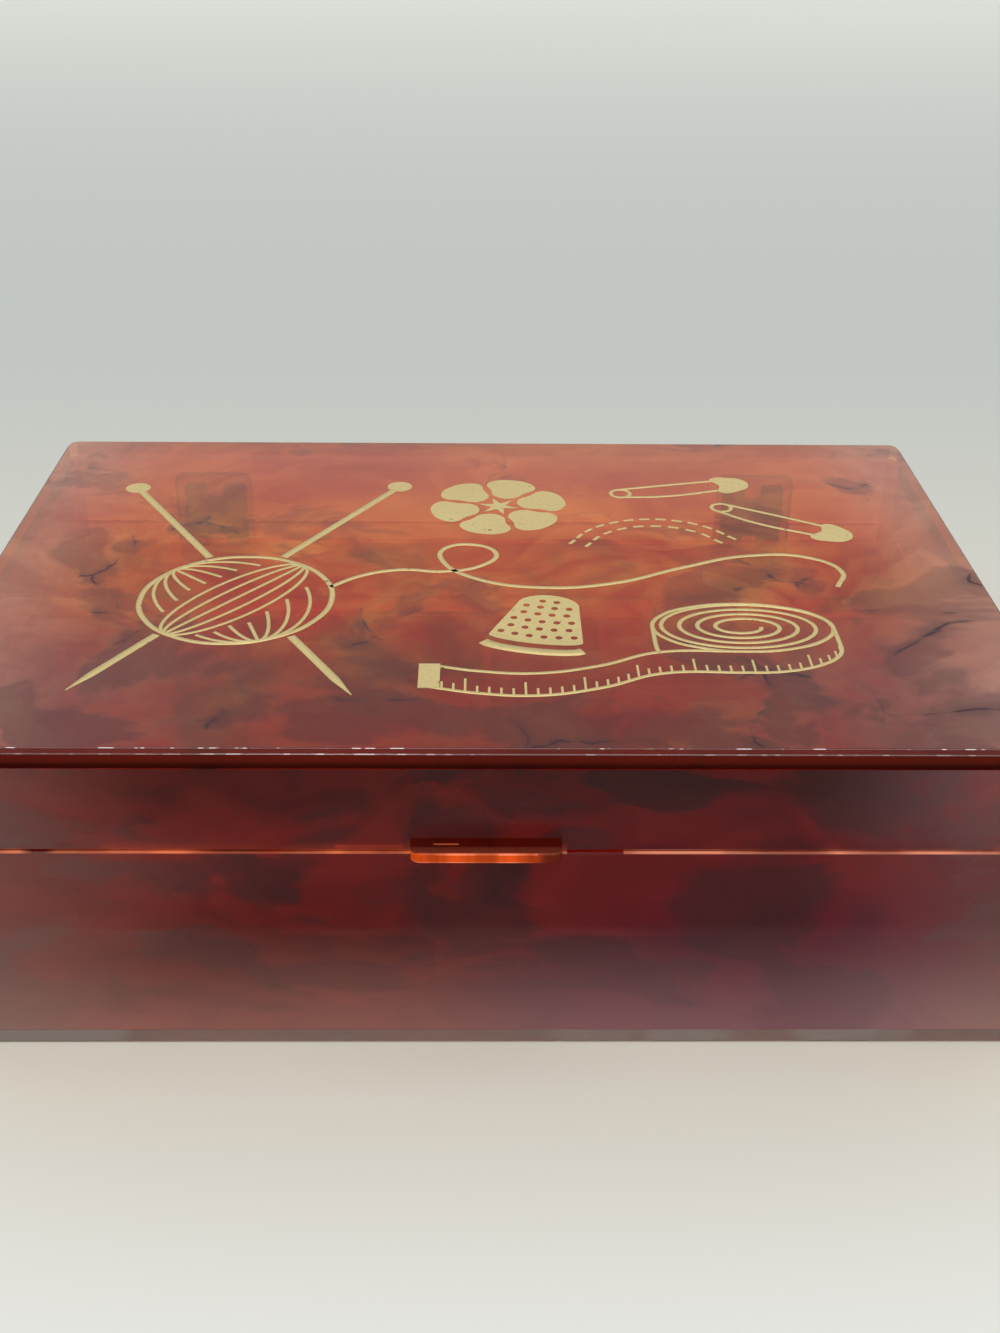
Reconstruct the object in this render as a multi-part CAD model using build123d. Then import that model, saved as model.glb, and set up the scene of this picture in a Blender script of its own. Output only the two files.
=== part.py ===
from build123d import *
import os

# Acrylic sewing box with a hinged lid and a lift-out tray, in millimetres.
# The origin is the middle of the underside. X runs across the front, Y goes to the
# back, where the hinges are, and Z is up.

# Outside of the closed box
box_width = 280.0
box_depth = 194.0
box_height = 89.0
corner_radius = 4.0

# Acrylic sheet
wall = 4.0
floor_thickness = 4.2
plate_thickness = 5.2
soft_edge = 0.4

# Seam between the base and the lid
seam_z = 60.2
seam_gap = 0.4
seam_chamfer = 0.6

# Rim of the lid's top plate
rim_bevel = 1.2
glue_groove = 0.3

# Thumb tab on the front of the lid. It reaches as far out as the hinge barrels do behind.
tab_width = 36.0
tab_reach = 6.4
tab_thickness = 2.8
tab_corner = 2.5
tab_above_seam = 1.3

# Lift-out tray and the strips that it stands on
tray_gap = 1.0
tray_sheet = 3.0
tray_bottom = 30.5
tray_rim = 55.5
tray_corner = 2.0
tray_rest_gap = 0.1
ledge_width = 5.0
ledge_height = 4.0
ledge_length = 150.0

# Tray dividers, each placed by its middle plane
cross_divider_y = 36.0
centre_divider_x = 0.5
cell_front_y = -3.0
cell_side_x = 36.0

# Hinges outside the rear walls
hinge_offset_x = 93.0
leaf_width = 26.0
leaf_reach = 16.5
leaf_sheet = 2.5
leaf_corner = 3.0
leaf_seam_margin = 0.8
pad_width = 21.0
pad_reach = 11.5
pad_corner = 1.5
notch_width = 5.6
notch_start = 6.7
knuckle_count = 5
knuckle_gap = 0.25
barrel_radius = 3.0
barrel_clearance = 0.4
pin_radius = 1.0
pin_running_clearance = 0.05
pin_recess = 0.1
# The outer faces of the pads stand this far outside the pin's axis. Their corners meet
# at about 108 degrees of opening, which is what stops the lid.
pad_outside_axis = 2.0

# Levels and planes worked out from the sizes above
half_width = box_width / 2
half_depth = box_depth / 2
base_top = seam_z - seam_gap / 2
lid_bottom = seam_z + seam_gap / 2
plate_bottom = box_height - plate_thickness
tray_half_width = half_width - wall - tray_gap
tray_half_depth = half_depth - wall - tray_gap
tray_deck = tray_bottom + tray_sheet
pin_y = half_depth + barrel_radius + barrel_clearance
rear_face = -(barrel_radius + barrel_clearance)


def between(x, y, z):
    """Block that fills the given low and high limits on each axis."""
    limits = (x, y, z)
    sizes = [high - low for low, high in limits]
    middles = [(high + low) / 2 for low, high in limits]
    return Pos(*middles) * Box(*sizes)


def rounded_block(half_x, half_y, low, high, radius):
    """Upright block about the middle of the box, rounded at its four upright edges."""
    block = between((-half_x, half_x), (-half_y, half_y), (low, high))
    return fillet(block.edges().filter_by(Axis.Z), radius)


def face_edges(solid, axis, index):
    """Edges of the first or last face along an axis."""
    return solid.faces().sort_by(axis)[index].edges()


def base_floor():
    sheet = rounded_block(half_width, half_depth, 0, floor_thickness, corner_radius)
    return chamfer(face_edges(sheet, Axis.Z, 0), soft_edge)


def wall_set(outline, prefix, half_x, half_y, thickness, low, high):
    """Front and rear walls run the full width, and the side walls stand between them."""
    inner_x = half_x - thickness
    inner_y = half_y - thickness
    blocks = {
        "front_wall": between((-half_x, half_x), (-half_y, -inner_y), (low, high)),
        "rear_wall": between((-half_x, half_x), (inner_y, half_y), (low, high)),
        "left_wall": between((-half_x, -inner_x), (-inner_y, inner_y), (low, high)),
        "right_wall": between((inner_x, half_x), (-inner_y, inner_y), (low, high)),
    }
    return {f"{prefix}_{name}": outline & block for name, block in blocks.items()}


def base_walls():
    outline = rounded_block(half_width, half_depth, floor_thickness, base_top, corner_radius)
    outline = chamfer(face_edges(outline, Axis.Z, -1), seam_chamfer)
    return wall_set(outline, "base", half_width, half_depth, wall, floor_thickness, base_top)


def lid_walls():
    outline = rounded_block(half_width, half_depth, lid_bottom, plate_bottom, corner_radius)
    outline = chamfer(face_edges(outline, Axis.Z, 0), seam_chamfer)
    return wall_set(outline, "lid", half_width, half_depth, wall, lid_bottom, plate_bottom)


def lid_top():
    """Top plate with a bevelled rim, both edges of the bevel softened."""
    plate = rounded_block(half_width, half_depth, plate_bottom, box_height, corner_radius)
    plate = chamfer(face_edges(plate, Axis.Z, 0), glue_groove)
    plate = chamfer(face_edges(plate, Axis.Z, -1), rim_bevel)
    bevel_foot = box_height - rim_bevel
    rims = plate.edges().filter_by_position(Axis.Z, bevel_foot, box_height)
    return fillet(rims.filter_by(lambda edge: edge.bounding_box().size.Z < soft_edge), soft_edge)


def thumb_tab():
    """Flat tab with rounded front corners, cemented to the lid just above the seam."""
    low = seam_z + tab_above_seam
    front = -half_depth - tab_reach
    tab = between(
        (-tab_width / 2, tab_width / 2), (front, -half_depth), (low, low + tab_thickness)
    )
    front_corners = tab.edges().filter_by(Axis.Z).group_by(Axis.Y)[0]
    tab = fillet(front_corners, tab_corner)
    free_edges = [
        edge
        for edge in tab.edges() - tab.edges().filter_by(Axis.Z)
        if edge.center().Y < -half_depth - soft_edge
    ]
    return fillet(free_edges, soft_edge)


def tray_floor():
    return rounded_block(tray_half_width, tray_half_depth, tray_bottom, tray_deck, tray_corner)


def soften_rim(solid, top):
    """Bevel the two long upper edges of a tray wall or divider."""
    size = solid.bounding_box().size
    along = Axis.X if size.X > size.Y else Axis.Y
    rim = solid.edges().filter_by(along).filter_by_position(Axis.Z, top, top)
    return chamfer(rim, soft_edge)


def tray_walls():
    outline = rounded_block(
        tray_half_width, tray_half_depth, tray_deck, tray_rim, tray_corner
    )
    walls = wall_set(
        outline, "tray", tray_half_width, tray_half_depth, tray_sheet, tray_deck, tray_rim
    )
    return {name: soften_rim(solid, tray_rim) for name, solid in walls.items()}


def tray_dividers():
    """Cross divider, centre divider and the two walls of the small cell behind them."""
    half = tray_sheet / 2
    inner_x = tray_half_width - tray_sheet
    inner_front = -(tray_half_depth - tray_sheet)
    cross_front = cross_divider_y - half
    centre_right = centre_divider_x + half
    height = (tray_deck, tray_rim)
    dividers = {
        "tray_cross_divider": between(
            (-inner_x, inner_x), (cross_front, cross_divider_y + half), height
        ),
        "tray_centre_divider": between(
            (centre_divider_x - half, centre_right), (inner_front, cross_front), height
        ),
        "tray_cell_side": between(
            (cell_side_x - half, cell_side_x + half), (cell_front_y - half, cross_front), height
        ),
        "tray_cell_front": between(
            (centre_right, cell_side_x - half), (cell_front_y - half, cell_front_y + half), height
        ),
    }
    return {name: soften_rim(solid, tray_rim) for name, solid in dividers.items()}


def tray_ledge(side):
    """Strip cemented inside a side wall. The tray stands on it."""
    outer = side * (half_width - wall)
    inner = outer - side * ledge_width
    top = tray_bottom - tray_rest_gap
    strip = between(
        sorted((outer, inner)), (-ledge_length / 2, ledge_length / 2), (top - ledge_height, top)
    )
    free_corners = strip.edges().filter_by(Axis.Z).filter_by_position(Axis.X, inner, inner)
    return fillet(free_corners, soft_edge)


def along_pin(radius, start, end):
    """Cylinder on the pin's axis between two places along it."""
    length = end - start
    return Pos((start + end) / 2, 0, 0) * Rot(0, 90, 0) * Cylinder(radius, length)


def knuckle_spans():
    """Start and end of each knuckle along the pin, from left to right."""
    length = (pad_width - (knuckle_count - 1) * knuckle_gap) / knuckle_count
    starts = [-pad_width / 2 + i * (length + knuckle_gap) for i in range(knuckle_count)]
    return [(start, start + length) for start in starts]


def leaf_plate():
    """Thin plate against the wall, rounded at its two far corners."""
    plate = between(
        (-leaf_width / 2, leaf_width / 2),
        (rear_face, rear_face + leaf_sheet),
        (leaf_seam_margin, leaf_reach),
    )
    far_corners = plate.edges().filter_by(Axis.Y).group_by(Axis.Z)[-1]
    plate = fillet(far_corners, leaf_corner)
    return chamfer(face_edges(plate, Axis.Y, -1), soft_edge)


def leaf_pads():
    """Two thick straps joined near the pin, so that both leaves together read as an H."""
    pads = between(
        (-pad_width / 2, pad_width / 2),
        (rear_face, pad_outside_axis),
        (leaf_seam_margin, pad_reach),
    )
    notch = between(
        (-notch_width / 2, notch_width / 2),
        (rear_face, pad_outside_axis),
        (notch_start, pad_reach + pad_corner),
    )
    notch = fillet(notch.edges().filter_by(Axis.Y).group_by(Axis.Z)[0], pad_corner)
    pads -= notch
    far_corners = pads.edges().filter_by(Axis.Y).filter_by_position(Axis.Z, pad_reach, pad_reach)
    pads = fillet(far_corners, pad_corner)
    outer_rim = [
        edge
        for edge in face_edges(pads, Axis.Y, -1)
        if edge.center().Z > leaf_seam_margin + soft_edge
    ]
    return chamfer(outer_rim, soft_edge)


def leaf_on_pin(own, other, bore_radius):
    """Leaf above the pin's axis: plate, pads and its own knuckles, relieved for the others."""
    leaf = leaf_plate() + leaf_pads()
    for start, end in other:
        leaf -= along_pin(
            barrel_radius + barrel_clearance, start - knuckle_gap, end + knuckle_gap
        )
    for start, end in own:
        leaf += along_pin(barrel_radius, start, end)
    return leaf - along_pin(bore_radius, -leaf_width, leaf_width)


def hinge(side):
    """Hinge on one side of the rear: lower leaf, upper leaf and pin."""
    spans = knuckle_spans()
    lower_spans = spans[0::2]
    upper_spans = spans[1::2]
    lower = leaf_on_pin(lower_spans, upper_spans, pin_radius)
    upper = leaf_on_pin(upper_spans, lower_spans, pin_radius + pin_running_clearance)
    pin_end = pad_width / 2 - pin_recess
    place = Pos(side * hinge_offset_x, pin_y, seam_z)
    return place * mirror(lower, about=Plane.XY), place * upper, place * along_pin(
        pin_radius, -pin_end, pin_end
    )


pieces = {
    "base_floor": base_floor(),
    "lid_top": lid_top(),
    "thumb_tab": thumb_tab(),
    "tray_floor": tray_floor(),
}
pieces.update(base_walls())
pieces.update(lid_walls())
pieces.update(tray_walls())
pieces.update(tray_dividers())
for side_name, side in (("left", -1), ("right", 1)):
    lower_leaf, upper_leaf, pin = hinge(side)
    pieces[f"tray_ledge_{side_name}"] = tray_ledge(side)
    pieces[f"hinge_{side_name}_lower_leaf"] = lower_leaf
    pieces[f"hinge_{side_name}_upper_leaf"] = upper_leaf
    pieces[f"hinge_{side_name}_pin"] = pin

os.makedirs("parts", exist_ok=True)
for name, solid in pieces.items():
    export_step(solid, f"parts/{name}.step")
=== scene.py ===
import math

import bmesh
import bpy
from mathutils import Matrix, Vector

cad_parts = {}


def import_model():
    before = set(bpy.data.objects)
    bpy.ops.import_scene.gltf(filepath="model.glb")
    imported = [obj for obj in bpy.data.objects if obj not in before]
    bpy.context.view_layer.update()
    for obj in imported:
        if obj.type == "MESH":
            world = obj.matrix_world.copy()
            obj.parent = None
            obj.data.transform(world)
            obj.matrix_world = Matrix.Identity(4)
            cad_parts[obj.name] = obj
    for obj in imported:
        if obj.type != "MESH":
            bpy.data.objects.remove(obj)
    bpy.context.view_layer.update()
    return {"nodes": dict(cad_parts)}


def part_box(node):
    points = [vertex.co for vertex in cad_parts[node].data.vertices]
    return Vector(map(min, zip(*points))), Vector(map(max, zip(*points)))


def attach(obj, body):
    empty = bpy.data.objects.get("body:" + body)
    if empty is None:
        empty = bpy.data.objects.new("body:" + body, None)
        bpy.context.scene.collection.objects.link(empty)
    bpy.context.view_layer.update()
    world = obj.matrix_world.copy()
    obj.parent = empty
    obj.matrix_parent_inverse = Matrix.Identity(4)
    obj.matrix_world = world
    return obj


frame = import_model()
MM = 0.001

# Camera, placed as the photograph was taken
CAMERA_PLACE = (-1.97 * MM, -402.7 * MM, 283.4 * MM)
CAMERA_PITCH = math.radians(29.39)
CAMERA_YAW = math.radians(-0.90)
CAMERA_ROLL = math.radians(0.60)
LENS_MM = 42.4
SENSOR_MM = 36.0

# Planes of the case that the finishes follow, in millimetres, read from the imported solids
LID_LOW, LID_HIGH = [[v / MM for v in corner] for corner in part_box("lid_top")]
HALF_WIDTH = LID_HIGH[0]
HALF_DEPTH = LID_HIGH[1]
LID_TOP_Z = LID_HIGH[2]
PLATE_Z = LID_LOW[2]
FLOOR_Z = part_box("base_floor")[1][2] / MM
SEAM_Z = (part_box("base_front_wall")[1][2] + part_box("lid_front_wall")[0][2]) / 2 / MM
INNER_X = HALF_WIDTH - (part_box("base_left_wall")[1][0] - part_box("base_left_wall")[0][0]) / MM
INNER_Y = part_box("base_left_wall")[1][1] / MM
TAB_FRONT_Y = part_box("thumb_tab")[0][1] / MM
TAB_Z = [corner[2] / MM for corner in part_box("thumb_tab")]

# Sizes within the solids, in millimetres, which the solids' boxes don't give
RIM_BEVEL = 1.2
LEAF_SHEET = 2.5
LEAF_FACE_Y = HALF_DEPTH + LEAF_SHEET

# Gold foil print, in millimetres: its two faces against the lid's, and the step between strokes
FOIL_SUNK = 0.02
FOIL_PROUD = 0.07
FOIL_STEP = 0.0015

# Glow of a surface that gives off no light
UNLIT = (0, 0, 0, 1)


class Wire:
    """The output of a node. Arithmetic on it adds Math nodes."""

    def __init__(self, board, socket):
        self.board = board
        self.socket = socket

    def math(self, operation, *values, clamp=False):
        settings = {"operation": operation, "use_clamp": clamp}
        return self.board.node("ShaderNodeMath", settings, dict(enumerate(values)))

    def __add__(self, other):
        return self.math("ADD", self, other)

    def __radd__(self, other):
        return self.math("ADD", other, self)

    def __sub__(self, other):
        return self.math("SUBTRACT", self, other)

    def __rsub__(self, other):
        return self.math("SUBTRACT", other, self)

    def __mul__(self, other):
        return self.math("MULTIPLY", self, other)

    def __rmul__(self, other):
        return self.math("MULTIPLY", other, self)

    def __pow__(self, other):
        return self.math("POWER", self, other)

    def __abs__(self):
        return self.math("ABSOLUTE", self)

    def clamped(self):
        return self.math("ADD", self, 0, clamp=True)

    def greater(self, other):
        """The larger of the two."""
        return self.math("MAXIMUM", self, other)

    def over(self, edge):
        """1 above the edge, else 0."""
        return self.math("GREATER_THAN", self, edge)

    def under(self, edge):
        return self.math("LESS_THAN", self, edge)

    def near(self, level, reach):
        """1 within reach of the level, else 0."""
        return abs(self - level).under(reach)

    def ramp(self, low, high, start=0.0, end=1.0):
        """Smooth step from start at low to end at high."""
        settings = {"interpolation_type": "SMOOTHSTEP"}
        sockets = {"Value": self, "From Min": low, "From Max": high, "To Min": start, "To Max": end}
        return self.board.node("ShaderNodeMapRange", settings, sockets)


class Board:
    """A node tree that is filled one node at a time."""

    def __init__(self, tree):
        self.tree = tree
        self.tree.nodes.clear()

    def node(self, kind, settings=None, sockets=None, output=0):
        made = self.tree.nodes.new(kind)
        for key, value in (settings or {}).items():
            setattr(made, key, value)
        for key, value in (sockets or {}).items():
            if isinstance(value, Wire):
                self.tree.links.new(value.socket, made.inputs[key])
            elif value is not None:
                made.inputs[key].default_value = value
        return Wire(self, made.outputs[output])


class Finish(Board):
    """The node tree of one material. Its places are in millimetres."""

    def __init__(self, name):
        self.material = bpy.data.materials.new(name)
        self.material.use_nodes = True
        super().__init__(self.material.node_tree)

    def place(self, shift=(0, 0, 0)):
        """Place on the object, the same for all pieces. A shift picks another part of a pattern."""
        own = self.node("ShaderNodeTexCoord", output="Object")
        settings = {"operation": "MULTIPLY_ADD"}
        return self.node(
            "ShaderNodeVectorMath", settings, {0: own, 1: (1 / MM, 1 / MM, 1 / MM), 2: shift}
        )

    def split(self, vector):
        parts = self.node("ShaderNodeSeparateXYZ", sockets={"Vector": vector})
        outputs = parts.socket.node.outputs
        return [Wire(self, outputs[axis]) for axis in "XYZ"]

    def noise(self, vector, size, detail=2.0, roughness=0.5, output="Fac"):
        """Noise whose main features are about the given size in millimetres."""
        sockets = {
            "Vector": vector,
            "Scale": 1 / size,
            "Detail": detail,
            "Roughness": roughness,
        }
        return self.node("ShaderNodeTexNoise", sockets=sockets, output=output)

    def warped(self, vector, size, amount, detail=2.0):
        """A place pushed about by noise of the given size, by up to half the amount."""
        push = self.noise(vector, size, detail, output="Color")
        centred = self.node(
            "ShaderNodeVectorMath", {"operation": "SUBTRACT"}, {0: push, 1: (0.5, 0.5, 0.5)}
        )
        settings = {"operation": "MULTIPLY_ADD"}
        return self.node(
            "ShaderNodeVectorMath", settings, {0: centred, 1: (amount, amount, amount), 2: vector}
        )

    def across(self, u, v):
        """A place on two axes alone, for a pattern that runs through the sheet."""
        return self.node("ShaderNodeCombineXYZ", sockets={"X": u, "Y": v})

    def stretched(self, vector, by):
        return self.node(
            "ShaderNodeVectorMath", {"operation": "MULTIPLY"}, {0: vector, 1: by}
        )

    def mix(self, factor, first, second):
        sockets = {0: factor, 6: first, 7: second}
        return self.node("ShaderNodeMix", {"data_type": "RGBA"}, sockets, output=2)

    def layered(self, factor, under, over):
        return self.node("ShaderNodeMixShader", sockets={0: factor, 1: under, 2: over})

    def cells(self, vector, size, feature, output):
        """Irregular cells of about the given size in millimetres."""
        sockets = {"Vector": vector, "Scale": 1 / size}
        settings = {"feature": feature, "voronoi_dimensions": "2D"}
        return self.node("ShaderNodeTexVoronoi", settings, sockets, output)

    def gloss(self, body, face_on, roughness, shine):
        """Polish over a body: reflections are weak face on and strong at a glance."""
        glance = self.node("ShaderNodeLayerWeight", sockets={"Blend": 0.5}, output="Facing")
        amount = ((face_on + (1 - face_on) * glance ** 5) * shine).clamped()
        sockets = {"Color": (1, 1, 1, 1), "Roughness": roughness}
        polish = self.node("ShaderNodeBsdfAnisotropic", sockets=sockets)
        return self.layered(amount, body, polish)

    def sheet(self, opacity, colour, clear, shine, face_on, glow=None, roughness=0.05):
        """Acrylic: tinted clear plastic, pigment over it by its opacity, and polish on top.

        clear is the tint that each face adds, and shine scales the polish over the surface.
        """
        sockets = {"Base Color": colour, "Roughness": 0.6, "Specular IOR Level": 0.0}
        if glow:
            sockets["Emission Color"] = glow
            sockets["Emission Strength"] = 1.0
        pigment = self.node("ShaderNodeBsdfPrincipled", sockets=sockets)
        see_through = self.node("ShaderNodeBsdfTransparent", sockets={"Color": clear})
        body = self.layered(opacity, see_through, pigment)
        return self.done(self.gloss(body, face_on, roughness, shine))

    def done(self, surface):
        out = self.tree.nodes.new("ShaderNodeOutputMaterial")
        self.tree.links.new(surface.socket, out.inputs["Surface"])
        return self.material


def rgba(red, green, blue):
    """A colour given in screen values, as the linear values that nodes take."""
    linear = [
        v / 12.92 if v <= 0.04045 else ((v + 0.055) / 1.055) ** 2.4
        for v in (red / 255, green / 255, blue / 255)
    ]
    return (*linear, 1)


def glued(x, y, z):
    """1 on the faces where two sheets of the case are cemented and the joint is clear."""
    tight = 0.03
    outside = abs(x).over(INNER_X + tight).greater(abs(y).over(INNER_Y + tight))
    level = z.near(FLOOR_Z, tight).greater(z.near(PLATE_Z, tight))
    ends = abs(y).near(INNER_Y, tight) * abs(x).over(INNER_X + tight)
    return (outside * level).greater(ends)


def outer_skin(x, y):
    """1 on the case's outer faces and cut edges, 0 on the faces that look inwards."""
    slack = 0.05
    return 1 - abs(x).under(INNER_X + slack) * abs(y).under(INNER_Y + slack)


def blots(u, v, spots):
    """Weight of the large dark blots, each given as middle, reach on each axis and depth.

    A blot of negative depth keeps the sheet clear there.
    """
    total = 0.0
    for (middle_u, middle_v), (reach_u, reach_v), depth in spots:
        across = (u - middle_u) * (1 / reach_u)
        up = (v - middle_v) * (1 / reach_v)
        total = (across * across + up * up).ramp(0.1, 1.3, depth, 0.0) + total
    return total


def tortoise(board, u, v, flow, shift, spots, more):
    """Pattern of the cast sheet over two axes: smoky clouds, patches of tone, faint dark veins.

    flow and shift stretch it and pick a part of it, spots are its large dark blots, and more
    makes the clouds spread. Returns clouds, tone and veins, each from 0 to 1.
    """
    place = board.across(u * flow[0] + shift[0], v * flow[1] + shift[1])
    swirl = board.warped(place, size=70, amount=60)
    ragged = board.warped(swirl, size=9, amount=5)
    settings = {"operation": "SUBTRACT"}
    push = board.node("ShaderNodeVectorMath", settings, {0: ragged, 1: place})
    push_u, push_v = board.split(push)[:2]
    torn, blot_weight = 0.45, 0.2
    spotted = blots(u + push_u * torn, v + push_v * torn, spots) * blot_weight
    smoke = board.noise(ragged, size=42, detail=4, roughness=0.62) + more + spotted

    wide = board.noise(swirl, size=44, detail=1)
    fine = board.noise(ragged, size=9, detail=2)
    flakes = board.split(board.cells(ragged, size=24, feature="F1", output="Color"))[0]
    tone = flakes * 0.35 + wide.ramp(0.35, 0.65, 0.0, 0.4) + fine.ramp(0.35, 0.65, 0.0, 0.25)
    edges = board.cells(ragged, size=33, feature="DISTANCE_TO_EDGE", output="Distance")
    cracks = edges.ramp(0.0, 0.022, 0.6, 0.0) + edges.ramp(0.0, 0.16, 0.4, 0.0)
    veins = cracks * wide.ramp(0.42, 0.56) * fine.ramp(0.4, 0.58, 0.15, 1.0)
    return smoke.ramp(0.5, 0.61), tone, veins


# Blots of the lid by X and Y, its painted pools of light, and blots of the walls by X and Z
LID_BLOTS = (
    ((112, -21), (13, 8), 0.9),
    ((92, -8), (6, 12), 0.5),
    ((-26, -80), (26, 13), 0.9),
    ((-98, -86), (18, 12), 0.8),
    ((-84, -48), (24, 18), 0.6),
    ((75, -76), (11, 20), 0.6),
    ((20, -84), (32, 18), 0.6),
    ((-118, 18), (9, 20), 0.5),
    ((-103, 14), (6, 5), 0.5),
    ((134, 86), (12, 10), 0.5),
    ((93, 74), (28, 22), -0.7),
    ((-93, 74), (28, 22), -0.7),
    ((6, 38), (46, 15), -0.6),
    ((80, 37), (15, 11), 0.5),
    ((122, 58), (16, 13), 0.35),
    ((-120, 60), (16, 13), 0.35),
)
LID_PAINTED_GLOW = (
    ((0, 38), (48, 20), 0.7),
    ((30, 86), (60, 16), 0.45),
    ((-2, 12), (26, 16), 0.3),
)
FRONT_BLOTS = (
    ((40, 77), (14, 8), 0.9),
    ((-54, 54), (12, 8), 0.6),
    ((-52, 42), (16, 5), 0.6),
    ((-72, 30), (20, 9), 0.8),
    ((-30, 18), (15, 7), 0.7),
    ((7, 54), (9, 6), 0.7),
    ((24, 31), (14, 8), 0.8),
    ((68, 44), (22, 20), 0.8),
    ((42, 20), (24, 9), 0.7),
    ((80, 16), (22, 12), 0.9),
    ((26, 60), (12, 4), 1.2),
)


def lid_pigment(board, x, y):
    """Colour and opacity of the top plate's face, and how far to the rear a place is."""
    middle_y, front_y, rear_y = 5, -68, 90
    frontward = y.ramp(middle_y, front_y)
    rear = y.ramp(middle_y, rear_y)
    margin = abs(x).ramp(96, 136)
    more = frontward * 0.05 - 0.02
    clouds, tone, veins = tortoise(board, x, y, (0.9, 1.0), (0, 0), LID_BLOTS, more)
    dark = (clouds * 0.6 + veins * 0.45).clamped()
    # Painted pools of light where the sheet is clear
    painted_glow = blots(x, y, LID_PAINTED_GLOW).clamped() * (1 - clouds)

    pale = board.mix(tone, rgba(200, 48, 8), rgba(255, 156, 66))
    # Painted light: brighter orange towards the rear and paler along the sides and at the front
    # corners; painted shade: darker and more opaque towards the front
    pale = board.mix(rear * 0.55, pale, rgba(240, 96, 48))
    pale = board.mix(margin * 0.8, pale, rgba(226, 166, 140))
    pale = board.mix(frontward * (0.8 - margin * 0.4), pale, rgba(108, 50, 46))
    pale = board.mix(frontward * abs(x).ramp(40, 136, 0.0, 0.4), pale, rgba(174, 138, 138))
    pale = board.mix(painted_glow, pale, rgba(255, 150, 62))
    colour = board.mix(dark, pale, rgba(56, 25, 34))
    opacity = 0.15 + 0.24 * tone + margin * 0.14 + frontward * 0.24
    opacity = opacity + dark * (0.42 + frontward * 0.12) + painted_glow * 0.16
    return colour, opacity, rear


def lid_acrylic():
    """Top plate: orange-brown, with painted light brighter at the back and paler along the sides,
    and painted shade darker to the front.

    Its sawn edges are painted shade, dark from outside, and painted light, lit from inside; the
    flat of its bevel is painted dark, and the two edges of its polished bevel catch broken lines of
    light.
    """
    board = Finish("lid_sheet")
    x, y, z = board.split(board.place())
    colour, opacity, rear = lid_pigment(board, x, y)

    above_groove = PLATE_Z + 0.4
    skin = 0.35
    bevel_foot = LID_TOP_Z - RIM_BEVEL
    rounding = 0.16
    face_depth = 0.004
    top = z.over(above_groove)
    side = abs(x).over(HALF_WIDTH - skin).greater(abs(y).over(HALF_DEPTH - skin))
    sawn = side * z.under(bevel_foot - rounding)
    # Painted shade: the sawn edge is dark red-brown from outside, darkest at the underside; painted
    # light: from inside it is a lit pale orange
    shade = board.mix(z.ramp(PLATE_Z + 0.6, PLATE_Z + 2.6), rgba(40, 8, 5), rgba(88, 26, 17))
    inside = board.node("ShaderNodeNewGeometry", output="Backfacing")
    colour = board.mix(sawn, colour, board.mix(inside, shade, rgba(200, 104, 70)))
    opacity = (opacity * top).greater(sawn * 0.92)

    bevel = z.over(bevel_foot - rounding) * z.under(LID_TOP_Z - face_depth) * top
    # Painted shade: the flat of the bevel is dark red
    colour = board.mix(bevel * 0.9, colour, rgba(88, 26, 18))
    opacity = opacity.greater(bevel * 0.8)
    polish = board.noise(board.place(), size=3.5, detail=1).ramp(0.56, 0.63)
    upper_line = z.near(LID_TOP_Z - rounding, 0.07) * (1.5 + polish * 9)
    lower_line = z.near(bevel_foot, 0.11) * (6 + polish * 8)
    shine = (0.3 + 0.7 * top) * (1 - sawn * 0.96) * (1 - bevel * 0.85) * (1 + rear * 0.5)
    shine = shine + bevel * (upper_line + lower_line)
    return board.sheet(opacity, colour, clear=(0.98, 0.61, 0.34, 1), shine=shine, face_on=0.03)


def wall_pigment(board, x, y, z):
    """Colour and opacity of the walls with their painted veil of light, and the tone of their
    pattern.
    """
    along = x + y + HALF_DEPTH
    more = z.ramp(30, 80, 0.0, 0.03)
    clouds, tone, veins = tortoise(board, along, z, (0.75, 1.5), (237, 150), FRONT_BLOTS, more)
    dark = (clouds * 0.7 + veins * 0.3).clamped()
    pale = board.mix(tone, rgba(70, 33, 35), rgba(126, 47, 43))
    crimson = x.ramp(-30, 70) * z.ramp(62, 30, 0.3, 1.0) * 0.6
    pale = board.mix(crimson, pale, rgba(94, 32, 54))
    colour = board.mix(dark, pale, rgba(52, 36, 37))
    # Painted shade: darker just under the lid's plate, less towards the ends
    painted_shade_under_plate = z.ramp(60, 84) * abs(x).ramp(126, 86, 0.0, 0.6)
    colour = board.mix(painted_shade_under_plate, colour, rgba(44, 24, 19))
    clearer = 1 - y.over(INNER_Y - 1) * 0.7
    opacity = (0.54 + dark * 0.3 + z.ramp(56, 80) * 0.24) * clearer

    # Painted light and painted reflection: a pale veil towards the foot with a faint step at 36-38
    # mm, towards both ends, and in a patch on the left
    foot = (z.ramp(-4, 42, 0.42, 0.0) + z.ramp(36, 38, 0.025, 0.0)) * (1 - dark * 0.35)
    corners = abs(x).ramp(70, 136, 0.0, 0.18)
    left_veil_z = 47
    left = x.ramp(-48, -96) * abs(z - left_veil_z).ramp(10, 26, 0.07, 0.0)
    painted_veil = (foot + corners + left) * clearer
    painted_veil_colour = board.mix(x.ramp(-40, 40), rgba(224, 162, 150), rgba(208, 158, 164))
    painted_veil_colour = board.mix(abs(x).ramp(90, 136), painted_veil_colour, rgba(196, 160, 150))
    colour = board.mix(painted_veil, colour, painted_veil_colour)
    return colour, opacity + painted_veil * (1 - opacity), tone


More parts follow.
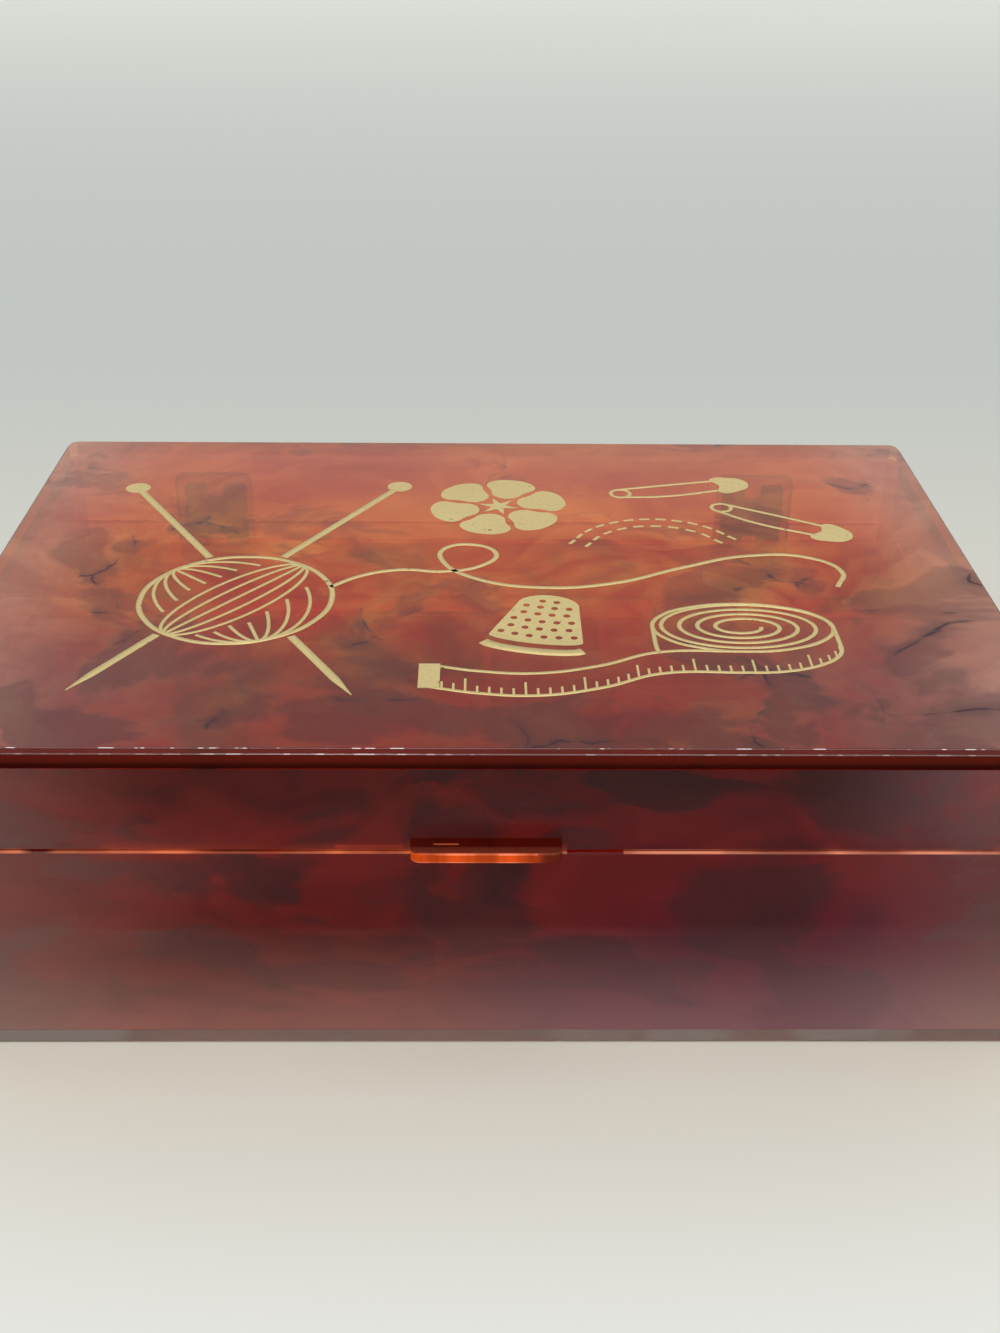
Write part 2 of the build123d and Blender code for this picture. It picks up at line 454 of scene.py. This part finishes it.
def seam_light(board, x, y, z, tone):
    """Light held at the seam. Returns its glow, the bright line and the cut between the lips."""
    lips = abs(z - SEAM_Z)
    above_seam = z - SEAM_Z
    in_front = y.under(0)
    cut = lips.under(0.3)
    patchy = board.noise(board.across(x, 0.0), size=30, detail=3).ramp(0.38, 0.6, 0.45, 1.0)
    gap_x, dim_x, bare_x, bare_reach = -107, -60, 26.2, 6.8
    gap = abs(x - gap_x).ramp(1, 5)
    dimmed = abs(x - dim_x).ramp(5, 14, 0.5, 1.0)
    bare = x.near(bare_x, bare_reach) * in_front
    outside = 1 - board.node("ShaderNodeNewGeometry", output="Backfacing")
    outer = abs(y).over(HALF_DEPTH - 0.75)
    held = outer * (patchy * gap * dimmed) * (1 - bare) * outside
    line = lips.under(0.65) * lips.over(0.15) * held
    halo = above_seam.ramp(0.8, 3.4, 1.0, 0.0) * z.over(SEAM_Z) * tone.ramp(0.4, 0.6)
    tab_side_x, tab_side_reach = -28, 8
    beside_tab = above_seam.near(1.3, 0.8) * x.near(tab_side_x, tab_side_reach) * held * in_front
    faint = (halo * held * 0.2).greater(beside_tab * 0.4)
    glow = board.mix(faint, UNLIT, rgba(208, 76, 34))
    bright = board.mix(x.ramp(-30, 40), rgba(218, 116, 66), rgba(226, 142, 106))
    return board.mix(line, glow, bright), line, cut


def wall_acrylic():
    """Wall sheets: dark crimson, with a painted veil of light towards the foot and the corners, lit
    at the seam.
    """
    board = Finish("wall_sheet")
    x, y, z = board.split(board.place())
    colour, opacity, tone = wall_pigment(board, x, y, z)
    glow, line, cut = seam_light(board, x, y, z, tone)
    opacity = (opacity * outer_skin(x, y) * (1 - cut) * (1 - glued(x, y, z))).greater(line * 0.8)
    # Painted light: the inner faces of the side walls are a lit pale orange
    painted_lit_side_faces = abs(x).near(INNER_X, 0.1) * abs(y).under(INNER_Y - 0.1)
    colour = board.mix(painted_lit_side_faces, colour, rgba(236, 150, 104))
    opacity = opacity.greater(painted_lit_side_faces * 0.4)
    shine = 1 - cut * 0.9
    clear = (0.86, 0.5, 0.48, 1)
    return board.sheet(opacity, colour, clear, shine, face_on=0.004, glow=glow)


def floor_acrylic():
    """Bottom sheet: dark red, its outer edge grey with a painted reflection of the table."""
    board = Finish("floor_sheet")
    x, y, z = board.split(board.place())
    swirl = board.warped(board.place(), size=50, amount=40, detail=1)
    mottle = board.noise(swirl, size=40, detail=2)
    dark = mottle.ramp(0.5, 0.62)
    pale = board.mix(mottle.ramp(0.36, 0.5), rgba(190, 56, 32), rgba(138, 36, 26))
    colour = board.mix(dark, pale, rgba(30, 14, 13))
    skin = 0.5
    side = abs(x).over(HALF_WIDTH - skin).greater(abs(y).over(HALF_DEPTH - skin))
    # Painted reflection: the outer edge is grey with the pale table mirrored in it
    colour = board.mix(side, colour, rgba(150, 136, 130))
    opacity = (0.2 + dark * 0.25 + side * 0.35) * (1 - glued(x, y, z))
    shine = 1 - side * 0.5
    return board.sheet(opacity, colour, clear=(0.95, 0.64, 0.5, 1), shine=shine, face_on=0.03)


def tray_acrylic():
    """Tray sheets: the same stock, but thinner, redder and clearer."""
    board = Finish("tray_sheet")
    swirl = board.warped(board.place((80, -240, 20)), size=60, amount=50, detail=1)
    mottle = board.noise(swirl, size=36, detail=3, roughness=0.6)
    dark = mottle.ramp(0.53, 0.62)
    pale = board.mix(mottle.ramp(0.38, 0.52), rgba(248, 112, 50), rgba(222, 66, 30))
    colour = board.mix(dark, pale, rgba(60, 14, 10))
    opacity = 0.28 + dark * 0.12
    return board.sheet(opacity, colour, clear=(0.97, 0.64, 0.46, 1), shine=1.0, face_on=0.03)


def hinge_acrylic():
    """Moulded brown acrylic: the flat leaf is nearly clear inside its edge, the straps aren't."""
    board = Finish("hinge_acrylic")
    y = board.split(board.place())[1]
    swirl = board.warped(board.place(), size=12, amount=8)
    mottle = board.noise(swirl, size=9, detail=3)
    colour = board.mix(mottle, rgba(22, 11, 20), rgba(44, 21, 32))
    thick = y.ramp(LEAF_FACE_Y, LEAF_FACE_Y + 0.3)
    edge = y.over(HALF_DEPTH + 0.05) * y.under(LEAF_FACE_Y - 0.05)
    opacity = (0.16 + thick * 0.78).greater(edge * 0.6)
    clear = (0.86, 0.62, 0.55, 1)
    return board.sheet(opacity, colour, clear, shine=1.0, face_on=0.04, roughness=0.12)


def tab_acrylic():
    """Amber tab: dark on its flat faces, with a painted glow of light piped out of its front edge,
    painted highlights on its front arrises, and a painted glint and a painted reflection on its
    top.
    """
    board = Finish("tab_acrylic")
    x, y, z = board.split(board.place())
    low, high = TAB_Z
    inward = y - TAB_FRONT_Y
    edge = z.near((low + high) / 2, (high - low) / 2 - 0.2)
    front = inward.ramp(0.1, 0.5, 1.0, 0.0)
    front = front.greater(inward.ramp(1.2, 2.4, 1.0, 0.0) * edge)
    drawn_out = board.stretched(board.place((7, 0, 0)), by=(1, 0.2, 0.2))
    patchy = board.noise(drawn_out, size=6, detail=3)
    lit_to, unlit_from = 9, 15
    lit = front * x.ramp(lit_to, unlit_from, 1.0, 0.08) * patchy.ramp(0.3, 0.7, 0.45, 1.0)
    glow = board.mix(lit, UNLIT, rgba(224, 82, 8))
    arris_in, arris_reach = 0.25, 0.2
    # Painted highlights: glowing lines along the upper and lower front arrises
    upper_arris_highlight = z.near(high - arris_in, arris_reach) * x.near(0, 12)
    lower_arris_highlight = z.near(low + arris_in, arris_reach) * x.under(11)
    arris_highlight = front * (upper_arris_highlight + lower_arris_highlight)
    glow = board.mix(arris_highlight * patchy.ramp(0.35, 0.6, 0.2, 0.9), glow, rgba(240, 136, 96))
    glint_in, glint_x = 3.9, -9.5
    # Painted glint: a short glowing orange streak on the top face
    painted_glint = inward.near(glint_in, 0.25) * x.near(glint_x, 3) * z.over(high - 0.1)
    glow = board.mix(painted_glint * 0.7, glow, rgba(226, 116, 70))

    # Painted reflection: a paler brown band on the top face nearer the front
    painted_reflection = inward.ramp(3.2, 2.2) * z.over(high - 0.4)
    colour = board.mix(patchy, rgba(66, 10, 4), rgba(92, 18, 8))
    colour = board.mix(painted_reflection * 0.6, colour, rgba(124, 62, 46))
    opacity = 0.6 + front * 0.38
    shine = 1 - front * 0.7
    clear = (0.92, 0.5, 0.34, 1)
    return board.sheet(opacity, colour, clear, shine, face_on=0.025, glow=glow)


def pin_steel():
    """Drawn steel wire: fine scratches along the pin and dull patches."""
    board = Finish("pin_steel")
    drawn = board.noise(board.stretched(board.place(), by=(0.06, 1, 1)), size=0.12, detail=2)
    dull = board.noise(board.place(), size=3, detail=2)
    sockets = {
        "Base Color": board.mix(dull, rgba(172, 170, 166), rgba(198, 196, 192)),
        "Roughness": 0.22 + drawn * 0.25,
        "Metallic": 1.0,
    }
    return board.done(board.node("ShaderNodeBsdfPrincipled", sockets=sockets))


def dress(node, material):
    """Give a CAD node its material."""
    piece = frame["nodes"][node]
    piece.data.materials.clear()
    piece.data.materials.append(material)


lid_sheet = lid_acrylic()
wall_sheet = wall_acrylic()
floor_sheet = floor_acrylic()
tray_sheet = tray_acrylic()
hinge_plastic = hinge_acrylic()
tab_plastic = tab_acrylic()
pin_finish = pin_steel()
for node in frame["nodes"]:
    if "leaf" in node:
        dress(node, hinge_plastic)
    elif node.endswith("pin"):
        dress(node, pin_finish)
    elif node == "lid_top":
        dress(node, lid_sheet)
    elif node == "thumb_tab":
        dress(node, tab_plastic)
    elif node == "base_floor":
        dress(node, floor_sheet)
    elif node.startswith("tray") and "ledge" not in node:
        dress(node, tray_sheet)
    else:
        dress(node, wall_sheet)


def gold_foil():
    """Hot-stamped foil: satin pale gold, with a fine grain and small specks where it has worn."""
    board = Finish("gold_foil")
    place = board.place()
    grain = board.noise(place, size=1.1, detail=2)
    broad = board.noise(place, size=26, detail=2)
    gold = board.mix(broad, rgba(208, 184, 124), rgba(226, 204, 142))
    gold = board.mix(grain.ramp(0.5, 0.75, 0.0, 0.35), gold, rgba(168, 146, 98))
    wear = board.noise(place, size=2.6, detail=3, roughness=0.7)
    worn_here = board.noise(place, size=19, detail=1).ramp(0.45, 0.6)
    speck = (wear.ramp(0.66, 0.7) * worn_here).clamped()
    colour = board.mix(speck, gold, rgba(96, 40, 30))
    sockets = {
        "Base Color": colour,
        "Roughness": grain.ramp(0.2, 0.8, 0.38, 0.55),
        "Metallic": 0.35,
    }
    return board.done(board.node("ShaderNodeBsdfPrincipled", sockets=sockets))


class Tree(Board):
    """A Geometry Nodes tree with named inputs, run once on a curve of the print."""

    def __init__(self, name, sizes):
        super().__init__(bpy.data.node_groups.new(name, "GeometryNodeTree"))
        face = self.tree.interface
        face.new_socket("Curve", in_out="INPUT", socket_type="NodeSocketGeometry")
        self.keys = {
            size: face.new_socket(size, in_out="INPUT", socket_type="NodeSocketFloat").identifier
            for size in ("Low", "High", *sizes)
        }
        face.new_socket("Mesh", in_out="OUTPUT", socket_type="NodeSocketGeometry")
        self.entry = self.tree.nodes.new("NodeGroupInput")

    def given(self, name):
        return Wire(self, self.entry.outputs[name])

    def vector(self, x=0.0, y=0.0, z=0.0):
        return self.node("ShaderNodeCombineXYZ", sockets={"X": x, "Y": y, "Z": z})

    def finished(self, mesh):
        """Make instances real, level the foil's two faces and give it its material."""
        real = self.node("GeometryNodeRealizeInstances", sockets={"Geometry": mesh})
        position = self.node("GeometryNodeInputPosition")
        parts = self.node("ShaderNodeSeparateXYZ", sockets={"Vector": position})
        x, y, z = [Wire(self, parts.socket.node.outputs[axis]) for axis in "XYZ"]
        low, high = self.given("Low"), self.given("High")
        flat = self.vector(x, y, low + z.over(0) * (high - low))
        sockets = {"Geometry": real, "Position": flat}
        level = self.node("GeometryNodeSetPosition", sockets=sockets)
        sockets = {"Geometry": level, "Material": foil}
        dressed = self.node("GeometryNodeSetMaterial", sockets=sockets)
        out = self.tree.nodes.new("NodeGroupOutput")
        self.tree.links.new(dressed.socket, out.inputs["Mesh"])
        return self

    def run(self, drawing, **sizes):
        """The mesh that the tree makes of a drawing, with sizes in millimetres."""
        piece = drawing.as_object()
        modifier = piece.modifiers.new("lines", "NODES")
        modifier.node_group = self.tree
        modifier[self.keys["Low"]] = (LID_TOP_Z - FOIL_SUNK) * MM
        modifier[self.keys["High"]] = (LID_TOP_Z + FOIL_PROUD) * MM
        for size, value in sizes.items():
            modifier[self.keys[size]] = value
        return drawing.taken(piece)


def line_tree():
    """Lines of foil along the drawn curves, each as wide as the curve's radius says."""
    tree = Tree("foil_lines", ())
    sockets = {"Curve": tree.given("Curve")}
    upright = tree.node("GeometryNodeSetCurveNormal", {"mode": "Z_UP"}, sockets)
    sockets = {"Width": 1.0, "Height": 1.0}
    profile = tree.node("GeometryNodeCurvePrimitiveQuadrilateral", sockets=sockets)
    sockets = {
        "Curve": upright,
        "Profile Curve": profile,
        "Scale": tree.node("GeometryNodeInputRadius"),
        "Fill Caps": True,
    }
    return tree.finished(tree.node("GeometryNodeCurveToMesh", sockets=sockets))


def bar_tree():
    """Short bars of foil spaced along a curve: stitches along it, or the ticks of a tape."""
    sizes = ("Spacing", "Along", "Across", "Follow", "Long_every", "Long_factor")
    tree = Tree("foil_bars", sizes)
    sockets = {"Curve": tree.given("Curve"), "Length": tree.given("Spacing")}
    points = tree.node("GeometryNodeCurveToPoints", {"mode": "LENGTH"}, sockets)
    tangent = Wire(tree, points.socket.node.outputs["Tangent"])
    sockets = {"Factor": tree.given("Follow"), "Vector": tangent}
    turn = tree.node("FunctionNodeAlignRotationToVector", {"axis": "X", "pivot_axis": "Z"}, sockets)
    across = tree.given("Across")
    size = tree.vector(tree.given("Along"), across, 1 * MM)
    cube = tree.node("GeometryNodeMeshCube", sockets={"Size": size})
    sockets = {"Geometry": cube, "Translation": tree.vector(y=across * 0.5)}
    bar = tree.node("GeometryNodeTransform", sockets=sockets)
    index = tree.node("GeometryNodeInputIndex")
    long_one = index.math("MODULO", index, tree.given("Long_every")).under(0.5)
    scale = tree.vector(1.0, 1 + long_one * (tree.given("Long_factor") - 1), 1.0)
    sockets = {"Points": points, "Instance": bar, "Rotation": turn, "Scale": scale}
    return tree.finished(tree.node("GeometryNodeInstanceOnPoints", sockets=sockets))


class Drawing:
    """Flat outlines on the lid, in millimetres from its middle, as the splines of a curve."""

    def __init__(self, filled=False):
        self.curve = bpy.data.curves.new("drawing", "CURVE")
        self.curve.dimensions = "2D" if filled else "3D"
        self.curve.resolution_u = 10
        if filled:
            self.curve.fill_mode = "BOTH"
            self.curve.extrude = 1 * MM

    def line(self, points, width=1.0, closed=False, bend=True):
        """A smooth or straight-sided spline. width is one value, or a tuple of one each."""
        spline = self.curve.splines.new("BEZIER")
        spline.bezier_points.add(len(points) - 1)
        spline.use_cyclic_u = closed
        widths = width if isinstance(width, tuple) else [width] * len(points)
        for knot, (x, y), wide in zip(spline.bezier_points, points, widths):
            knot.co = (x * MM, y * MM, 0)
            knot.handle_left_type = knot.handle_right_type = "AUTO" if bend else "VECTOR"
            knot.radius = wide * MM
        return self

    def as_object(self):
        piece = bpy.data.objects.new("drawing", self.curve)
        bpy.context.scene.collection.objects.link(piece)
        return piece

    def taken(self, piece):
        """The finished mesh of the drawing, whose curve object is then removed."""
        ready = piece.evaluated_get(bpy.context.evaluated_depsgraph_get())
        mesh = bpy.data.meshes.new_from_object(ready)
        bpy.data.objects.remove(piece)
        bpy.data.curves.remove(self.curve)
        return mesh

    def area(self):
        """The mesh of a filled drawing, as thick as the foil."""
        mesh = self.taken(self.as_object())
        welded = bmesh.new()
        welded.from_mesh(mesh)
        touching = 0.002 * MM
        bmesh.ops.remove_doubles(welded, verts=welded.verts, dist=touching)
        for vertex in welded.verts:
            proud = FOIL_PROUD if vertex.co.z > 0 else -FOIL_SUNK
            vertex.co.z = (LID_TOP_Z + proud) * MM
        welded.to_mesh(mesh)
        welded.free()
        return mesh


def arc(centre, radius, start, end, count, squash=1.0):
    """Points of an arc between two angles in degrees, or of an ellipse squashed along Y."""
    turns = [math.radians(start + (end - start) * i / count) for i in range(count + 1)]
    return [
        (centre[0] + radius * math.cos(t), centre[1] + radius * squash * math.sin(t)) for t in turns
    ]


def circle(centre, radius, count=8, squash=1.0):
    return arc(centre, radius, 0, 360, count, squash)[:-1]


def placed(points, centre, degrees=0.0):
    """Points drawn about a motif's own middle, turned and moved to its place on the lid."""
    cos, sin = math.cos(math.radians(degrees)), math.sin(math.radians(degrees))
    return [(centre[0] + x * cos - y * sin, centre[1] + x * sin + y * cos) for x, y in points]


def strokes_apart(joined):
    """Lift the top of each stroke a hair above the last, so that no tops meet where two cross."""
    lifted = set()
    level = 0
    for first in joined.verts:
        if first in lifted:
            continue
        stroke = {first}
        edge = [first]
        while edge:
            vertex = edge.pop()
            for link in vertex.link_edges:
                other = link.other_vert(vertex)
                if other not in stroke:
                    stroke.add(other)
                    edge.append(other)
        lifted |= stroke
        for vertex in stroke:
            if vertex.co.z > LID_TOP_Z * MM:
                vertex.co.z += level * FOIL_STEP * MM
        level += 1


def print_piece(name, meshes):
    """Join the parts of one motif into a mesh of closed strokes that rides on the lid."""
    joined = bmesh.new()
    for mesh in meshes:
        joined.from_mesh(mesh)
        bpy.data.meshes.remove(mesh)
    strokes_apart(joined)
    bmesh.ops.recalc_face_normals(joined, faces=joined.faces)
    mesh = bpy.data.meshes.new(name)
    joined.to_mesh(mesh)
    joined.free()
    mesh.materials.clear()
    mesh.materials.append(foil)
    piece = bpy.data.objects.new(name, mesh)
    bpy.context.scene.collection.objects.link(piece)
    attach(piece, "lid")


# Ball of yarn: its middle and radius, and the widths of the yarn and of its windings
BALL = (-68, -20)
BALL_RADIUS = 26
YARN_WIDTH = 1.5
WINDING_WIDTH = 1.0


def yarn_ball(lines):
    """Ball of yarn: its outline, a band of windings, and those on either side that run under it."""
    drawing = Drawing()
    drawing.line(circle(BALL, BALL_RADIUS, 12), YARN_WIDTH, closed=True)
    band_tilt = -38

    def across_band(point):
        x, y = placed([(point[0] - BALL[0], point[1] - BALL[1])], (0, 0), -band_tilt)[0]
        return x / math.sqrt(max(BALL_RADIUS ** 2 - y ** 2, 1.0))

    def winding(tilt, share, keep):
        bow_end, count = 84, 28
        steps = [math.radians(-bow_end + 2 * bow_end * i / count) for i in range(count + 1)]
        bow = [(share * BALL_RADIUS * math.cos(t), BALL_RADIUS * math.sin(t)) for t in steps]
        kept = [point for point in placed(bow, BALL, tilt) if keep(across_band(point))]
        if len(kept) > 3:
            drawing.line(kept, WINDING_WIDTH)

    for share in (-0.36, -0.18, 0.0, 0.18, 0.36):
        winding(band_tilt, share, lambda across: True)
    band_edge = 0.44
    for share in (-0.75, -0.5, -0.25, 0.0, 0.25, 0.5, 0.75):
        winding(48, share, lambda across: across < -band_edge)
        winding(20, share, lambda across: across > band_edge)
    print_piece("print_yarn_ball", [lines.run(drawing)])


def knitting_needles(lines):
    """Two needles crossed behind the ball, each with a round knob and a drawn-out point."""
    drawing = Drawing()
    knobs = Drawing(filled=True)
    clear = BALL_RADIUS + 1.8
    wide, point_width, point_length, knob_radius = 2.3, 0.3, 9, 3.8
    for knob, tip in (((-109, 56), (-33, -72)), ((-27, 58), (-103, -70))):
        run = Vector(tip) - Vector(knob)
        unit = run.normalized()
        nearest = (Vector(BALL) - Vector(knob)).dot(unit)
        beside = (Vector(BALL) - Vector(knob) - unit * nearest).length
        reach = math.sqrt(clear ** 2 - beside ** 2)
        start, end = Vector(knob), Vector(tip)
        drawing.line([start, start + unit * (nearest - reach)], wide)
        shaft = [start + unit * (nearest + reach), end - unit * point_length, end]
        drawing.line(shaft, (wide, wide, point_width))
        knobs.line(circle(knob, knob_radius), closed=True)
    print_piece("print_knitting_needles", [lines.run(drawing), knobs.area()])


def yarn_strand(lines):
    """The ball's loose end, run across the lid in a loop and a long wave."""
    route = [
        (-43, -13), (-35, -6), (-24, -2), (-12, -3), (-1, 1), (3, 9), (-4, 15), (-12, 12),
        (-12, 3), (-2, -8), (16, -13), (36, -10), (56, 0), (76, 8), (93, 7), (101, -2), (98, -12),
    ]
    drawing = Drawing().line(route, YARN_WIDTH)
    print_piece("print_yarn_strand", [lines.run(drawing)])


def tape_measure(lines, bars):
    """Rolled tape seen from above and in front, its end run out in a wave with a metal tip."""
    centre, reach, squash, height, wide = (68, -36), 24, 0.56, 11, 1.2
    turns, steps, wound_in = 4, 24, 0.8
    drawing = Drawing()
    spiral = []
    for i in range(steps * turns + 1):
        t = 2 * math.pi * i / steps
        radius = reach * (1 - wound_in * i / (steps * turns))
        spiral.append(
            (centre[0] + radius * math.cos(t), centre[1] + radius * squash * math.sin(t))
        )
    drawing.line(spiral, wide)
    drawing.line(circle(centre, reach, 12, squash), wide, closed=True)

    tail = [(44, -50), (29, -57), (13, -61), (-2, -60), (-14, -57)]
    upper = arc(centre, reach, 0, -95, 7, squash) + tail
    lower = [(x, y - height) for x, y in upper]
    back = [(x, y - height) for x, y in arc(centre, reach, 180, 194, 2, squash)]
    drawing.line(upper, wide)
    drawing.line(lower, wide)
    drawing.line([upper[0], lower[0]], wide)
    drawing.line([(centre[0] - reach, centre[1])] + back, wide)
    marks = bars.run(
        Drawing().line(lower),
        Spacing=3.0 * MM,
        Along=0.6 * MM,
        Across=3.4 * MM,
        Follow=0.0,
        Long_every=5.0,
        Long_factor=1.9,
    )
    tip = Drawing(filled=True)
    half = height / 2 + wide / 2
    outer_end, inner_end = -3, 2.4
    corners = [(outer_end, -half), (inner_end, -half), (inner_end, half), (outer_end, half)]
    middle = (upper[-1][0], upper[-1][1] - height / 2)
    tip.line(placed(corners, middle), closed=True, bend=False)
    print_piece("print_tape_measure", [lines.run(drawing), marks, tip.area()])


def thimble(lines):
    """Solid thimble with a bare line over its rim and rows of bare dimples."""
    centre, lean = (15, -33), -12
    foot, crown, base, shoulder = 12.5, 8.5, -10, 9.0
    shape = Drawing(filled=True)
    outline = [(foot, base), (crown, shoulder)]
    outline += arc((0, shoulder), crown, 15, 165, 10, 0.75)
    outline += [(-crown, shoulder), (-foot, base)]
    outline += arc((0, base), foot, -165, -15, 8, 0.22)
    shape.line(placed(outline, centre, lean), closed=True, bend=False)
    spacing, dimple, deepest_sag, rim_width = 3.9, 0.95, 2.0, 3.2
    for level, count in ((-6.8, 6), (-2.6, 5), (1.6, 5), (5.8, 4), (9.8, 4), (13.4, 2)):
        for i in range(count):
            x = spacing * (i - (count - 1) / 2)
            sag = deepest_sag * (1 - (x / foot) ** 2)
            middle = placed([(x, level - sag)], centre, lean)[0]
            shape.line(circle(middle, dimple, 6), closed=True)
    curl = arc((0, base - 3.6), foot + 0.8, 190, 350, 10, 0.24)
    rim = Drawing().line(placed(curl, centre, lean), rim_width)
    print_piece("print_thimble", [shape.area(), lines.run(rim)])


def safety_pins(lines):
    """Two closed safety pins: coiled at one end, capped at the other."""
    drawing = Drawing()
    caps = Drawing(filled=True)
    wire, coil = 1.2, 3.0
    back = [(-18, coil), (-2, 3.6), (15, 3.9)]
    point = [(-18, -coil), (-5, -4.9), (15, -3.6)]
    cap_half = [(13.4, 5.4), (20, 5.2), (23.6, 2.4)]
    cap = cap_half + [(x, -y) for x, y in reversed(cap_half)] + [(14.6, 0)]
    for centre, angle in (((60, 57), 12), ((88, 33), -32)):
        drawing.line(placed(circle((-18, 0), coil), centre, angle), wire, closed=True)
        drawing.line(placed(back, centre, angle), wire)
        drawing.line(placed(point, centre, angle), wire)
        caps.line(placed(cap, centre, angle), closed=True)
    print_piece("print_safety_pins", [lines.run(drawing), caps.area()])


def pincushion():
    """Round pincushion in six plump segments about a small star."""
    centre, radius, segments, gap = (4, 43), 21, 6, 2.3
    seam = (7.5, 13, 17.6)
    corner, half_crown = radius - 0.9, 0.3
    star_tip, star_notch = 6.4, 2.2
    shape = Drawing(filled=True)
    step = 2 * math.pi / segments

    def at(distance, turn):
        return (centre[0] + distance * math.cos(turn), centre[1] + distance * math.sin(turn))

    def beside(distance, middle, side):
        return at(distance, middle + side * (step / 2 - gap / 2 / distance))

    for i in range(segments):
        middle = step * (i + 0.25)
        right = [beside(d, middle, -1) for d in seam]
        left = [beside(d, middle, 1) for d in reversed(seam)]
        crown = [at(corner, middle - half_crown), at(radius, middle)]
        crown.append(at(corner, middle + half_crown))
        shape.line(right + crown + left, closed=True)
    star = []
    for i in range(segments):
        star += [at(star_tip, step * (i + 0.75)), at(star_notch, step * (i + 1.25))]
    shape.line(star, closed=True, bend=False)
    print_piece("print_pincushion", [shape.area()])


def running_stitches(bars):
    """Two rows of running stitch, all of one length, that sweep along the right of the print."""
    sizes = {
        "Spacing": 4.8 * MM,
        "Along": 3.2 * MM,
        "Across": 1.0 * MM,
        "Follow": 1.0,
        "Long_every": 1000.0,
        "Long_factor": 1.0,
    }
    sweep = (50, 7)
    rows = [bars.run(Drawing().line(arc(sweep, r, 158, 30, 6)), **sizes) for r in (21, 26)]
    print_piece("print_running_stitches", rows)


foil = gold_foil()
foil_lines = line_tree()
foil_bars = bar_tree()
yarn_ball(foil_lines)
knitting_needles(foil_lines)
yarn_strand(foil_lines)
tape_measure(foil_lines, foil_bars)
thimble(foil_lines)
safety_pins(foil_lines)
pincushion()
running_stitches(foil_bars)


def table():
    """Pale table top, a hair below the box so that their faces don't share a plane."""
    mesh = bpy.data.meshes.new("table_top")
    reach = 4000 * MM
    level = -0.2 * MM
    signs = ((-1, -1), (1, -1), (1, 1), (-1, 1))
    mesh.from_pydata([(i * reach, j * reach, level) for i, j in signs], [], [(0, 1, 2, 3)])
    piece = bpy.data.objects.new("table_top", mesh)
    bpy.context.scene.collection.objects.link(piece)
    board = Finish("table_top")
    y = board.split(board.place())[1]
    foreground, box_front, behind_box, horizon = -260, -90, 500, 2500
    # Painted shadow: darker and warmer towards the box's front
    near = board.mix(y.ramp(foreground, box_front), rgba(238, 240, 240), rgba(221, 215, 201))
    beyond = board.mix(y.ramp(box_front, behind_box), near, rgba(191, 194, 189))
    colour = board.mix(y.ramp(behind_box, horizon), beyond, rgba(222, 223, 215))
    sockets = {"Base Color": colour, "Roughness": 0.55, "Specular IOR Level": 0.2}
    shade = board.node("ShaderNodeBsdfPrincipled", sockets=sockets)
    piece.data.materials.append(board.done(shade))


def soft_lamp(name, towards, strength, spread):
    """Distant lamp that shines from the given direction, as wide as spread degrees."""
    data = bpy.data.lights.new(name, "SUN")
    data.energy = strength
    data.angle = math.radians(spread)
    lit = bpy.data.objects.new(name, data)
    lit.rotation_euler = Vector(towards).to_track_quat("Z", "Y").to_euler()
    bpy.context.scene.collection.objects.link(lit)


def camera():
    """Camera at the photograph's viewing angle."""
    data = bpy.data.cameras.new("camera")
    data.sensor_fit = "VERTICAL"
    data.sensor_height = SENSOR_MM
    data.lens = LENS_MM
    data.clip_start = 10 * MM
    seen = bpy.data.objects.new("camera", data)
    turn = (
        Matrix.Rotation(CAMERA_YAW, 4, "Z")
        @ Matrix.Rotation(math.pi / 2 - CAMERA_PITCH, 4, "X")
        @ Matrix.Rotation(CAMERA_ROLL, 4, "Z")
    )
    seen.matrix_world = Matrix.Translation(CAMERA_PLACE) @ turn
    bpy.context.scene.collection.objects.link(seen)
    bpy.context.scene.camera = seen


def world():
    """Even pale light from all round."""
    made = bpy.data.worlds.new("studio")
    made.use_nodes = True
    back = made.node_tree.nodes["Background"]
    back.inputs["Color"].default_value = rgba(236, 240, 240)
    back.inputs["Strength"].default_value = 0.66
    bpy.context.scene.world = made


table()
soft_lamp("overhead", towards=(0.08, -0.27, 1.0), strength=1.5, spread=60)
soft_lamp("front_glint", towards=(-0.1, -0.8, 0.55), strength=0.12, spread=9)
camera()
world()
scene = bpy.context.scene
scene.view_settings.view_transform = "Standard"
# Enough steps for light to cross the lid, the tray and the floor of the box
scene.cycles.max_bounces = 6
scene.cycles.diffuse_bounces = 2
scene.cycles.transparent_max_bounces = 32
